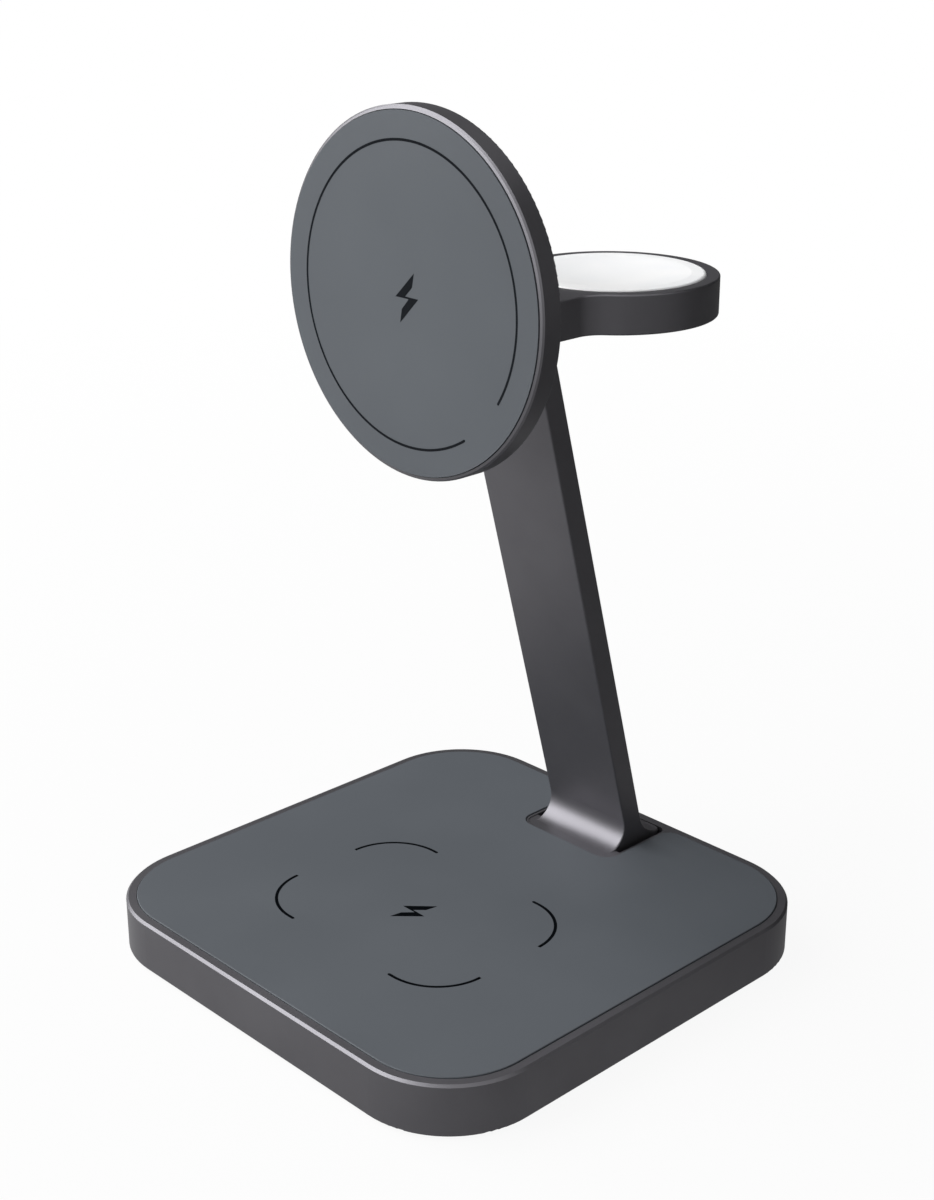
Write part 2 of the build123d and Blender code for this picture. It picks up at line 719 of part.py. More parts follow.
# Screws that hold the arm, from the front of the stem
with BuildPart() as arm_screws:
    with Locations(Plane((0, arm_screw_seat_y, arm_screw_z), x_dir=(1, 0, 0), z_dir=(0, -1, 0))):
        with GridLocations(arm_screw_spacing, 1, 2, 1):
            Cylinder(arm_screw_head_r, arm_screw_head_thick, align=standing)
            Cylinder(arm_screw_r, stem_depth / 2 + arm_screw_depth - screw_gap, align=hanging)
    with BuildSketch(Plane(
        (0, arm_screw_seat_y - arm_screw_head_thick, arm_screw_z), x_dir=(1, 0, 0), z_dir=(0, -1, 0)
    )):
        with GridLocations(arm_screw_spacing, 1, 2, 1):
            RegularPolygon(socket_share * arm_screw_head_r, 6)
    extrude(amount=-arm_screw_head_thick / 2, mode=Mode.SUBTRACT)

# Circuit board clamped between the ring's ledge and the puck's skirt
with BuildPart() as watch_board:
    with BuildSketch(Plane.XY.offset(ring_floor)):
        with Locations((0, ring_y)):
            Circle(puck_r - thread_gap)
    extrude(amount=watch_board_thick)

with BuildPart() as watch_ferrite:
    with BuildSketch(Plane.XY.offset(puck_skirt)):
        with Locations((0, ring_y)):
            Circle(puck_r - puck_wall - watch_coil_side_gap / 2)
    extrude(amount=watch_ferrite_thick)

watch_coil_bottom = puck_skirt + watch_ferrite_thick
with BuildPart() as watch_coil:
    with BuildSketch(Plane.XY.offset(watch_coil_bottom)):
        with Locations((0, ring_y)):
            Circle(puck_r - puck_wall - watch_coil_side_gap)
            Circle(watch_magnet_r + watch_magnet_gap, mode=Mode.SUBTRACT)
    extrude(amount=watch_coil_thick)

with BuildPart() as watch_magnet:
    with BuildSketch(Plane.XY.offset(watch_coil_bottom)):
        with Locations((0, ring_y)):
            Circle(watch_magnet_r)
    extrude(amount=watch_coil_thick)

# White puck: a moulded cap with a shallow spherical dish on top
dish_r = puck_r - dish_rim
dish_bottom = puck_top - dish_depth
dish_ball_r = (dish_r ** 2 + dish_depth ** 2) / (2 * dish_depth)
puck_ceiling = dish_bottom - dish_floor
with BuildPart() as watch_puck:
    with BuildSketch(Plane.XY.offset(puck_skirt)):
        with Locations((0, ring_y)):
            Circle(puck_r)
    extrude(amount=puck_height)
    fillet(watch_puck.faces().sort_by(Axis.Z)[-1].edges(), puck_edge_round)
    with BuildSketch(Plane.XY.offset(puck_skirt)):
        with Locations((0, ring_y)):
            Circle(puck_r - puck_wall)
    extrude(amount=puck_ceiling - puck_skirt, mode=Mode.SUBTRACT)
    with Locations((0, ring_y, dish_bottom + dish_ball_r)):
        Sphere(dish_ball_r, mode=Mode.SUBTRACT)

# Flat cable: up through the foot, along the channel and back along the arm to the watch board
cable_end_y = ring_y - cavity_r + cable_tail
cable_turn_z = watch_cover_top + 2 * thread_gap
with BuildPart() as stem_cable:
    with BuildSketch(Plane.YZ):
        with BuildLine():
            route = FilletPolyline(
                (cable_back_y, board_top + cable_socket_height / 2),
                (cable_back_y, cable_bend_z),
                (back_face_y(cable_turn_z) - channel_depth + cable_rise, cable_turn_z),
                (cable_end_y, cable_turn_z),
                radius=cable_bend_r,
            )
            offset(route, amount=cable_thick, side=Side.LEFT, closed=True)
        make_face()
    extrude(amount=cable_width / 2, both=True)

with BuildPart() as cable_socket:
    with BuildSketch(Plane.XY.offset(board_top)):
        with Locations((0, cable_drop_y)):
            Rectangle(cable_socket_width, cable_socket_length)
            Rectangle(cable_width + 2 * thread_gap, cable_thick + 4 * thread_gap, mode=Mode.SUBTRACT)
    extrude(amount=cable_socket_height)

# Phone pad: a turned metal dish, open to the front, whose rim falls back to a bright bevel
pad_back_y = hinge_y - knuckle_r - knuckle_clear - bracket_thick
pad_front_y = pad_back_y - pad_thick
pad_front = Plane((0, pad_front_y, pad_z), x_dir=(1, 0, 0), z_dir=(0, -1, 0))
pad_floor = pad_front.offset(-(pad_thick - pad_wall))
face_seat = face_thick - face_proud
cavity_depth = pad_thick - pad_wall - face_seat
pad_seat_r = pad_r - pad_rim
pad_cavity_r = pad_seat_r - pad_ledge
with BuildPart() as pad_housing:
    with BuildSketch(Plane.YZ):
        Polygon(
            (pad_front_y, pad_z + pad_seat_r),
            (pad_front_y + pad_rim_fall, pad_z + pad_r - pad_rim_bevel),
            (pad_front_y + pad_rim_fall + pad_rim_bevel, pad_z + pad_r),
            (pad_back_y, pad_z + pad_r),
            (pad_back_y, pad_z),
            (pad_back_y - pad_wall, pad_z),
            (pad_back_y - pad_wall, pad_z + pad_cavity_r),
            (pad_front_y + face_seat, pad_z + pad_cavity_r),
            (pad_front_y + face_seat, pad_z + pad_seat_r),
            align=None,
        )
    revolve(axis=Axis((0, 0, pad_z), (0, 1, 0)))
    fillet(pad_housing.faces().sort_by(Axis.Y)[-1].edges(), pad_back_round)
    with Locations(pad_floor):
        with PolarLocations(bracket_screw_ring_r, bracket_screw_count, bracket_screw_start):
            CounterSinkHole(
                bracket_screw_r + screw_gap, bracket_screw_head_r + thread_gap, counter_sink_angle=90
            )

# Face of the pad, let into the rim and a little proud of it
with BuildPart() as pad_face:
    with BuildSketch(pad_front.offset(face_proud)):
        Circle(pad_seat_r - face_gap)
    extrude(amount=-face_thick)

# Ring of flat magnets around the phone coil
magnet_out_r = pad_cavity_r - magnet_clear
with BuildPart() as magnet_ring:
    with BuildSketch(pad_floor):
        Circle(magnet_out_r)
        Circle(magnet_out_r - magnet_width, mode=Mode.SUBTRACT)
        with PolarLocations(magnet_out_r - magnet_width / 2, magnet_count):
            Rectangle(2 * magnet_width, magnet_split, mode=Mode.SUBTRACT)
    extrude(amount=cavity_depth - magnet_air)

pad_coil_r = magnet_out_r - magnet_width - pad_coil_side_gap
with BuildPart() as pad_ferrite:
    with BuildSketch(pad_floor):
        Circle(pad_coil_r + pad_coil_side_gap / 2)
    extrude(amount=pad_ferrite_thick)

with BuildPart() as pad_coil:
    with BuildSketch(pad_floor.offset(pad_ferrite_thick)):
        Circle(pad_coil_r)
        Circle(pad_coil_in_r, mode=Mode.SUBTRACT)
    extrude(amount=cavity_depth - pad_ferrite_thick - pad_air)

# Bracket on the back of the pad: a round flange and two ears around the knuckle
ear_inner_x = knuckle_width / 2 + washer_thick + 2 * side_play
ear_outer_x = ear_inner_x + ear_thick
pin_recess_r = nut_across / sqrt(3) + pin_recess_clear
bracket_face = Plane((0, pad_back_y, pad_z), x_dir=(1, 0, 0), z_dir=(0, -1, 0))
with BuildPart() as pad_bracket:
    with BuildSketch(bracket_face):
        Circle(bracket_r)
    extrude(amount=-bracket_thick)
    fillet(pad_bracket.faces().sort_by(Axis.Y)[-1].edges(), bracket_round)
    with BuildSketch(Plane.YZ.offset(ear_inner_x), Plane.YZ.offset(-ear_outer_x)):
        with Locations((hinge_y, hinge_z)):
            Circle(knuckle_r)
        with Locations(((hinge_y + pad_back_y + bracket_thick / 2) / 2, hinge_z)):
            Rectangle(hinge_y - pad_back_y - bracket_thick / 2, 2 * knuckle_r)
    extrude(amount=ear_thick)
    with BuildSketch(Plane.YZ):
        with Locations((hinge_y, hinge_z)):
            Circle(pin_r + pin_play)
    extrude(amount=ear_outer_x, both=True, mode=Mode.SUBTRACT)
    with BuildSketch(Plane.YZ.offset(ear_outer_x - pin_recess), Plane.YZ.offset(-ear_outer_x)):
        with Locations((hinge_y, hinge_z)):
            Circle(pin_recess_r)
    extrude(amount=pin_recess, mode=Mode.SUBTRACT)
    with BuildSketch(bracket_face):
        with PolarLocations(bracket_screw_ring_r, bracket_screw_count, bracket_screw_start):
            Circle(bracket_screw_r + thread_gap)
    extrude(amount=-bracket_screw_depth, mode=Mode.SUBTRACT)

# Flat-head screws from inside the pad into the bracket
with BuildPart() as bracket_screws:
    with Locations(pad_floor):
        with PolarLocations(bracket_screw_ring_r, bracket_screw_count, bracket_screw_start):
            flat_head_screw(
                bracket_screw_r, bracket_screw_head_r, pad_wall + bracket_screw_depth - thread_gap
            )

# Hinge pin with its head in one ear, lock nut in the other, and a washer each side
pin_seat_x = ear_outer_x - pin_recess
with BuildPart() as hinge_pin:
    with BuildSketch(Plane.YZ.offset(-pin_seat_x)):
        with Locations((hinge_y, hinge_z)):
            Circle(pin_r)
    extrude(amount=pin_seat_x + ear_outer_x - screw_gap)
    with BuildSketch(Plane.YZ.offset(-pin_seat_x)):
        with Locations((hinge_y, hinge_z)):
            Circle(pin_head_r)
            RegularPolygon(socket_share * pin_head_r, 6, mode=Mode.SUBTRACT)
    extrude(amount=-pin_head_thick)

with BuildPart() as hinge_nut:
    with BuildSketch(Plane.YZ.offset(pin_seat_x)):
        with Locations((hinge_y, hinge_z)):
            RegularPolygon(nut_across / 2, 6, major_radius=False)
            Circle(pin_r + thread_gap, mode=Mode.SUBTRACT)
    extrude(amount=pin_head_thick)

with BuildPart() as friction_washers:
    with BuildSketch(
        Plane.YZ.offset(knuckle_width / 2 + side_play),
        Plane.YZ.offset(-(knuckle_width / 2 + side_play + washer_thick)),
    ):
        with Locations((hinge_y, hinge_z)):
            Circle(washer_r)
            Circle(pin_r + pin_play, mode=Mode.SUBTRACT)
    extrude(amount=washer_thick)

os.makedirs("parts", exist_ok=True)

pieces = {
    "base_frame": base_frame,
    "base_top_panel": base_top_panel,
    "bottom_cover": bottom_cover,
    "anti_slip_mat": anti_slip_mat,
    "cover_screws": cover_screws,
    "counterweight": counterweight,
    "earbud_coil": earbud_coil,
    "earbud_ferrite": earbud_ferrite,
    "main_board": main_board,
    "power_inductors": power_inductors,
    "control_chips": control_chips,
    "ceramic_capacitors": ceramic_capacitors,
    "inlet_shell": inlet_shell_tube,
    "inlet_contact_tongue": inlet_contact_tongue,
    "cable_socket": cable_socket,
    "stem": stem,
    "channel_strip": channel_strip,
    "stem_cable": stem_cable,
    "stem_foot_screws": stem_foot_screws,
    "watch_arm": watch_arm,
    "watch_cover": watch_cover,
    "watch_cover_screws": watch_cover_screws,
    "arm_screws": arm_screws,
    "watch_board": watch_board,
    "watch_ferrite": watch_ferrite,
    "watch_coil": watch_coil,
    "watch_magnet": watch_magnet,
    "watch_puck": watch_puck,
    "pad_housing": pad_housing,
    "pad_face": pad_face,
    "magnet_ring": magnet_ring,
    "pad_ferrite": pad_ferrite,
    "pad_coil": pad_coil,
    "pad_bracket": pad_bracket,
    "bracket_screws": bracket_screws,
    "hinge_pin": hinge_pin,
    "hinge_nut": hinge_nut,
    "friction_washers": friction_washers,
}
for label, piece in pieces.items():
    piece.part.label = label
    export_step(piece.part, f"parts/{label}.step")
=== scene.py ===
import math

import bmesh
import bpy
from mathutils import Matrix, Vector


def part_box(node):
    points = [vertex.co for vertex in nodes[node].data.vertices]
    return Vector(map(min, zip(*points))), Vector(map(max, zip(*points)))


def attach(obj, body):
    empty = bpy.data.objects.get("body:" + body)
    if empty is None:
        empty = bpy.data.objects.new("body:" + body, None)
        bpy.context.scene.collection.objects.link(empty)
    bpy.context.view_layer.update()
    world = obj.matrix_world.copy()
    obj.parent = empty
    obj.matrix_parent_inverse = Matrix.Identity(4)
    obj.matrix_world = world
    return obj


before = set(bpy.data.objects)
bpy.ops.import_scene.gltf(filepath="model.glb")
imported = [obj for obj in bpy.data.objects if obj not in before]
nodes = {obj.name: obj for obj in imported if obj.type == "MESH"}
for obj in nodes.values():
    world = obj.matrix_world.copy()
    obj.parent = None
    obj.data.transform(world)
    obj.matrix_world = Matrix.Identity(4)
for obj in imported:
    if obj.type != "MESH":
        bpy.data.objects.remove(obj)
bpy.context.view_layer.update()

# Base frame: the square ring that everything is built into. Die-cast aluminium, machined flat
# on top with a bright 45 degree bevel, bead blasted and then anodised dark grey.
# Names that end in _MM are millimetres. Every other length is in metres.
METRES_PER_MM = 0.001


def linear(hex_colour):
    """An sRGB hex colour as the linear values that a shader takes."""
    parts = [int(hex_colour[i:i + 2], 16) / 255 for i in (1, 3, 5)]
    return [p / 12.92 if p <= 0.04045 else ((p + 0.055) / 1.055) ** 2.4 for p in parts] + [1.0]


def add(tree, kind, inputs=None, **settings):
    """Add a node: its settings, and its sockets set to a value or linked to an output."""
    node = tree.nodes.new(kind)
    for name, value in settings.items():
        setattr(node, name, value)
    for name, value in (inputs or {}).items():
        if isinstance(value, bpy.types.NodeSocket):
            tree.links.new(value, node.inputs[name])
        else:
            node.inputs[name].default_value = value
    return node


def new_finish(name):
    """An empty material, its node tree and the position of a point on the piece in metres."""
    material = bpy.data.materials.new(name)
    material.use_nodes = True
    material.node_tree.nodes.clear()
    place = add(material.node_tree, "ShaderNodeTexCoord").outputs["Object"]
    return material, material.node_tree, place


def close_finish(tree, surface):
    """Join the surface shader to the material's output."""
    add(tree, "ShaderNodeOutputMaterial", {"Surface": surface.outputs[0]})


def dress(material, *names):
    """Give pieces of the frame their finish."""
    for name in names:
        for part in nodes[name].material_slots:
            part.material = material


# Anodised aluminium, bead blasted: a dark satin with soft broad highlights and a faint grain.
# The dyed oxide over the metal scatters a little light of its own, so it isn't wholly metallic.
ANODISED_GREY = "#69686C"
ANODISED_DARK = "#636266"
ANODISED_METALLIC = 0.88
DYE_CLOUD_MM = 14.0
DYE_FROM = 0.3
DYE_TO = 0.7
# The blasting grit is about 0.1 mm, drawn coarser so that it shows at arm's length.
BLAST_GRAIN_MM = 0.3
BLAST_DEPTH_MM = 0.002
BLAST_SMOOTHEST = 0.41
BLAST_ROUGHEST = 0.47
anodised_aluminium, tree, place = new_finish("anodised_aluminium_bead_blasted")
grain = add(tree, "ShaderNodeTexNoise", {
    "Vector": place, "Scale": 1 / (BLAST_GRAIN_MM * METRES_PER_MM), "Detail": 2.0})
cloud = add(tree, "ShaderNodeTexNoise", {
    "Vector": place, "Scale": 1 / (DYE_CLOUD_MM * METRES_PER_MM), "Detail": 3.0})
dye = add(tree, "ShaderNodeValToRGB", {"Fac": cloud.outputs["Fac"]})
dye.color_ramp.elements[0].color = linear(ANODISED_DARK)
dye.color_ramp.elements[0].position = DYE_FROM
dye.color_ramp.elements[1].color = linear(ANODISED_GREY)
dye.color_ramp.elements[1].position = DYE_TO
gloss = add(tree, "ShaderNodeMapRange", {
    "Value": grain.outputs["Fac"], "To Min": BLAST_SMOOTHEST, "To Max": BLAST_ROUGHEST})
blasted = add(tree, "ShaderNodeBump", {
    "Height": grain.outputs["Fac"], "Distance": BLAST_DEPTH_MM * METRES_PER_MM, "Strength": 0.4})
metal = add(tree, "ShaderNodeBsdfPrincipled", {
    "Base Color": dye.outputs["Color"], "Metallic": ANODISED_METALLIC,
    "Roughness": gloss.outputs["Result"], "Normal": blasted.outputs["Normal"]})
close_finish(tree, metal)
dress(anodised_aluminium, "base_frame")

# Bottom cover: a flat lid that closes the base from below, with pads for the circuit board.
# Injection-moulded ABS in black, held by four screws under the mat.
# Spark-eroded moulding texture: a fine leathery matt that scatters the light evenly.
ABS_BLACK = "#1C1D1F"
ABS_WORN = "#26272A"
# The craters of the texture are about 0.1 mm across, drawn coarser so that they show.
SPARK_GRAIN_MM = 0.35
SPARK_DEPTH_MM = 0.02
black_abs, tree, place = new_finish("black_abs_spark_textured")
spark = add(tree, "ShaderNodeTexVoronoi", {
    "Vector": place, "Scale": 1 / (SPARK_GRAIN_MM * METRES_PER_MM)}, feature="SMOOTH_F1")
tone = add(tree, "ShaderNodeValToRGB", {"Fac": spark.outputs["Distance"]})
tone.color_ramp.elements[0].color = linear(ABS_BLACK)
tone.color_ramp.elements[1].color = linear(ABS_WORN)
sparked = add(tree, "ShaderNodeBump", {
    "Height": spark.outputs["Distance"], "Distance": SPARK_DEPTH_MM * METRES_PER_MM,
    "Strength": 0.6})
abs_shell = add(tree, "ShaderNodeBsdfPrincipled", {
    "Base Color": tone.outputs["Color"], "Roughness": 0.55, "IOR": 1.53,
    "Normal": sparked.outputs["Normal"]})
close_finish(tree, abs_shell)
dress(black_abs, "bottom_cover")

# Anti-slip mat: a soft sheet that the stand rests on, stuck into a shallow recess of the cover.
# Moulded silicone rubber, black.
# Silicone: dead matt with a dusty sheen at a low angle and a cloth-like press texture.
SILICONE_BLACK = "#17181A"
SILICONE_DUSTY = "#202124"
DUST_MM = 5.0
PRESS_WEAVE_MM = 0.8
PRESS_DEPTH_MM = 0.02
# At a scale of 1, diagonal bands of the wave texture lie this far apart.
WAVE_LENGTH = 2 * math.pi / (10 * math.sqrt(2))
black_silicone, tree, place = new_finish("black_silicone_pressed")
weave = add(tree, "ShaderNodeTexWave", {
    "Vector": place, "Scale": WAVE_LENGTH / (PRESS_WEAVE_MM * METRES_PER_MM), "Distortion": 0.2},
    bands_direction="DIAGONAL")
dust = add(tree, "ShaderNodeTexNoise", {
    "Vector": place, "Scale": 1 / (DUST_MM * METRES_PER_MM), "Detail": 4.0})
tone = add(tree, "ShaderNodeValToRGB", {"Fac": dust.outputs["Fac"]})
tone.color_ramp.elements[0].color = linear(SILICONE_BLACK)
tone.color_ramp.elements[1].color = linear(SILICONE_DUSTY)
pressed = add(tree, "ShaderNodeBump", {
    "Height": weave.outputs["Fac"], "Distance": PRESS_DEPTH_MM * METRES_PER_MM, "Strength": 0.4})
silicone = add(tree, "ShaderNodeBsdfPrincipled", {
    "Base Color": tone.outputs["Color"], "Roughness": 0.8, "IOR": 1.41, "Sheen Weight": 0.2,
    "Normal": pressed.outputs["Normal"]})
close_finish(tree, silicone)
dress(black_silicone, "anti_slip_mat")

# Screws of the base: four countersunk ones for the cover and two cap screws that come up
# through the deck into the stem. Cold-headed steel with a hex socket, zinc plated.
# Zinc plate: a cool grey metal, a little cloudy, that gives soft and uneven highlights.
ZINC_BRIGHT = "#B9BCC2"
ZINC_CLOUDED = "#9A9DA3"
CLOUD_MM = 0.6
CLOUD_DEPTH_MM = 0.01
ZINC_SMOOTHEST = 0.25
ZINC_ROUGHEST = 0.4
zinc_steel, tree, place = new_finish("zinc_plated_steel")
cloud = add(tree, "ShaderNodeTexNoise", {
    "Vector": place, "Scale": 1 / (CLOUD_MM * METRES_PER_MM), "Detail": 4.0})
tone = add(tree, "ShaderNodeValToRGB", {"Fac": cloud.outputs["Fac"]})
tone.color_ramp.elements[0].color = linear(ZINC_CLOUDED)
tone.color_ramp.elements[1].color = linear(ZINC_BRIGHT)
gloss = add(tree, "ShaderNodeMapRange", {
    "Value": cloud.outputs["Fac"], "To Min": ZINC_SMOOTHEST, "To Max": ZINC_ROUGHEST})
plated = add(tree, "ShaderNodeBump", {
    "Height": cloud.outputs["Fac"], "Distance": CLOUD_DEPTH_MM * METRES_PER_MM, "Strength": 0.3})
zinc = add(tree, "ShaderNodeBsdfPrincipled", {
    "Base Color": tone.outputs["Color"], "Metallic": 1.0, "Roughness": gloss.outputs["Result"],
    "Normal": plated.outputs["Normal"]})
close_finish(tree, zinc)
dress(zinc_steel, "cover_screws", "stem_foot_screws")

# Counterweight: the plate that keeps the stand from tipping when a phone hangs on it.
# Cold-rolled steel, cut to shape and left with its rolled skin.
# Rolled steel: long straight grain along the rolling direction, duller than the screws.
ROLLED_LIGHT = "#85878B"
ROLLED_DARK = "#66686C"
ROLL_LINE_MM = 0.5
ROLL_LENGTH_MM = 25.0
ROLL_DEPTH_MM = 0.01
rolled_steel, tree, place = new_finish("cold_rolled_steel")
stretch = add(tree, "ShaderNodeMapping", {
    "Vector": place, "Scale": (ROLL_LINE_MM / ROLL_LENGTH_MM, 1.0, 1.0)})
lines = add(tree, "ShaderNodeTexNoise", {
    "Vector": stretch.outputs["Vector"], "Scale": 1 / (ROLL_LINE_MM * METRES_PER_MM),
    "Detail": 3.0})
tone = add(tree, "ShaderNodeValToRGB", {"Fac": lines.outputs["Fac"]})
tone.color_ramp.elements[0].color = linear(ROLLED_DARK)
tone.color_ramp.elements[1].color = linear(ROLLED_LIGHT)
rolled = add(tree, "ShaderNodeBump", {
    "Height": lines.outputs["Fac"], "Distance": ROLL_DEPTH_MM * METRES_PER_MM, "Strength": 0.5})
steel_plate = add(tree, "ShaderNodeBsdfPrincipled", {
    "Base Color": tone.outputs["Color"], "Metallic": 1.0, "Roughness": 0.45,
    "Normal": rolled.outputs["Normal"]})
close_finish(tree, steel_plate)
dress(rolled_steel, "counterweight")

# Earbud coil: a flat spiral of litz wire under the front of the panel.
# Enamelled copper strands, wound and bonded into a ring.
# Litz copper: fine round turns side by side, with a warm highlight painted on each crest and shade
# painted between the turns.
COPPER_PAINTED_HIGHLIGHT = "#C9744A"
COPPER_PAINTED_SHADE = "#8E4527"
LITZ_TURN_MM = 0.8
LITZ_DEPTH_MM = 0.2


def wound_copper(name, centre, flat_axis):
    """Copper wire wound flat round a centre, with its turns square to the flat axis."""
    material, tree, place = new_finish(name)
    moved = add(tree, "ShaderNodeVectorMath", {0: place, 1: centre}, operation="SUBTRACT")
    across = Vector((1, 1, 1)) - Vector(flat_axis)
    flat = add(tree, "ShaderNodeVectorMath", {0: moved.outputs[0], 1: across}, operation="MULTIPLY")
    reach = add(tree, "ShaderNodeVectorMath", {0: flat.outputs[0]}, operation="LENGTH")
    turns = add(tree, "ShaderNodeMath", {
        0: reach.outputs["Value"], 1: 2 * math.pi / (LITZ_TURN_MM * METRES_PER_MM)},
        operation="MULTIPLY")
    crest = add(tree, "ShaderNodeMath", {0: turns.outputs[0]}, operation="SINE")
    level = add(tree, "ShaderNodeMapRange", {"Value": crest.outputs[0], "From Min": -1.0})
    # Painted highlight and shade: the colour is lighter on each turn's crest and darker between the
    # turns.
    tone = add(tree, "ShaderNodeValToRGB", {"Fac": level.outputs["Result"]})
    tone.color_ramp.elements[0].color = linear(COPPER_PAINTED_SHADE)
    tone.color_ramp.elements[1].color = linear(COPPER_PAINTED_HIGHLIGHT)
    rounded = add(tree, "ShaderNodeBump", {
        "Height": level.outputs["Result"], "Distance": LITZ_DEPTH_MM * METRES_PER_MM})
    wire = add(tree, "ShaderNodeBsdfPrincipled", {
        "Base Color": tone.outputs["Color"], "Metallic": 1.0, "Roughness": 0.3,
        "Coat Weight": 0.5, "Normal": rounded.outputs["Normal"]})
    close_finish(tree, wire)
    return material


def middle(name):
    """The centre of a piece of the frame."""
    low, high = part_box(name)
    return (low + high) / 2


UPRIGHT = (0, 0, 1)
dress(wound_copper("copper_litz_earbud", middle("earbud_coil"), UPRIGHT), "earbud_coil")

# Ferrite sheets and power inductors: they carry the magnetic field behind each coil and on
# the circuit board. Sintered manganese-zinc ferrite, ground flat.
# Ferrite: dull black ceramic with a trace of blue-grey and tiny open pores.
FERRITE_DARK = "#232428"
FERRITE_LIGHT = "#34363B"
# The pores are a few hundredths of a millimetre wide, drawn coarser so that they show.
PORE_MM = 0.25
PORE_DEPTH_MM = 0.02
sintered_ferrite, tree, place = new_finish("sintered_ferrite")
pores = add(tree, "ShaderNodeTexVoronoi", {
    "Vector": place, "Scale": 1 / (PORE_MM * METRES_PER_MM)})
tone = add(tree, "ShaderNodeValToRGB", {"Fac": pores.outputs["Distance"]})
tone.color_ramp.elements[0].color = linear(FERRITE_DARK)
tone.color_ramp.elements[1].color = linear(FERRITE_LIGHT)
pitted = add(tree, "ShaderNodeBump", {
    "Height": pores.outputs["Distance"], "Distance": PORE_DEPTH_MM * METRES_PER_MM,
    "Strength": 0.4})
ceramic = add(tree, "ShaderNodeBsdfPrincipled", {
    "Base Color": tone.outputs["Color"], "Roughness": 0.5, "IOR": 1.9,
    "Normal": pitted.outputs["Normal"]})
close_finish(tree, ceramic)
dress(sintered_ferrite, "earbud_ferrite", "power_inductors", "watch_ferrite", "pad_ferrite")

# Circuit boards: the main one across the base and the round one in the watch ring.
# Glass-epoxy laminate with copper tracks under a green solder mask.
# Solder mask: a deep green gloss in which the tracks show as slightly lighter lines.
MASK_GREEN = "#0E3B24"
TRACK_GREEN = "#1B5A38"
TRACK_GRID_MM = 1.3
TRACK_DEPTH_MM = 0.03
# The tracks are the joints of a brick texture. At a scale of 1 its bricks are this wide.
BRICK_WIDTH = 0.5
circuit_board, tree, place = new_finish("solder_masked_board")
tracks = add(tree, "ShaderNodeTexBrick", {
    "Vector": place, "Color1": linear(MASK_GREEN), "Color2": linear(MASK_GREEN),
    "Mortar": linear(TRACK_GREEN), "Scale": BRICK_WIDTH / (TRACK_GRID_MM * METRES_PER_MM),
    "Mortar Size": 0.04})
masked = add(tree, "ShaderNodeBump", {
    "Height": tracks.outputs["Fac"], "Distance": TRACK_DEPTH_MM * METRES_PER_MM,
    "Strength": 0.5})
laminate = add(tree, "ShaderNodeBsdfPrincipled", {
    "Base Color": tracks.outputs["Color"], "Roughness": 0.25, "IOR": 1.55,
    "Normal": masked.outputs["Normal"]})
close_finish(tree, laminate)
dress(circuit_board, "main_board", "watch_board")

# Control chips, the cable socket and the contact tongue of the inlet.
# Transfer-moulded epoxy and black liquid-crystal polymer, soldered to the board.
# Moulding compound: flat black, a little speckled by its glass filler.
COMPOUND_BLACK = "#16171A"
FILLER_GREY = "#2B2D31"
# The filler's grains are about 0.05 mm, drawn coarser so that they show.
FILLER_MM = 0.12
FILLER_DEPTH_MM = 0.008
FILLER_FROM = 0.45
epoxy_compound, tree, place = new_finish("epoxy_moulding_compound")
filler = add(tree, "ShaderNodeTexNoise", {
    "Vector": place, "Scale": 1 / (FILLER_MM * METRES_PER_MM), "Detail": 2.0})
tone = add(tree, "ShaderNodeValToRGB", {"Fac": filler.outputs["Fac"]})
tone.color_ramp.elements[0].color = linear(COMPOUND_BLACK)
tone.color_ramp.elements[0].position = FILLER_FROM
tone.color_ramp.elements[1].color = linear(FILLER_GREY)
speckled = add(tree, "ShaderNodeBump", {
    "Height": filler.outputs["Fac"], "Distance": FILLER_DEPTH_MM * METRES_PER_MM,
    "Strength": 0.5})
compound = add(tree, "ShaderNodeBsdfPrincipled", {
    "Base Color": tone.outputs["Color"], "Roughness": 0.5, "IOR": 1.56,
    "Normal": speckled.outputs["Normal"]})
close_finish(tree, compound)
dress(epoxy_compound, "control_chips", "cable_socket", "inlet_contact_tongue")

# Ceramic capacitors: small tan blocks in the middle of the board.
# Fired multilayer ceramic with tinned ends, soldered at both sides.
# Fired ceramic: a warm tan body with bright tin caps at its two ends.
CERAMIC_TAN = "#8A6A4B"
TIN_CAP = "#C8CACD"
CAP_END_MM = 1.15
MOTTLE_MM = 0.3
MOTTLE_DEPTH_MM = 0.01
ceramic_capacitor, tree, place = new_finish("tinned_ceramic")
axes = add(tree, "ShaderNodeSeparateXYZ", {"Vector": place})
out = add(tree, "ShaderNodeMath", {0: axes.outputs["X"]}, operation="ABSOLUTE")
cap = add(tree, "ShaderNodeMath", {
    0: out.outputs[0], 1: CAP_END_MM * METRES_PER_MM}, operation="GREATER_THAN")
mottle = add(tree, "ShaderNodeTexNoise", {
    "Vector": place, "Scale": 1 / (MOTTLE_MM * METRES_PER_MM), "Detail": 2.0})
body = add(tree, "ShaderNodeMix", {
    "Factor": cap.outputs[0], "A": linear(CERAMIC_TAN), "B": linear(TIN_CAP)}, data_type="RGBA")
fired = add(tree, "ShaderNodeBump", {
    "Height": mottle.outputs["Fac"], "Distance": MOTTLE_DEPTH_MM * METRES_PER_MM,
    "Strength": 0.4})
block = add(tree, "ShaderNodeBsdfPrincipled", {
    "Base Color": body.outputs["Result"], "Metallic": cap.outputs[0], "Roughness": 0.4,
    "Normal": fired.outputs["Normal"]})
close_finish(tree, block)
dress(ceramic_capacitor, "ceramic_capacitors")

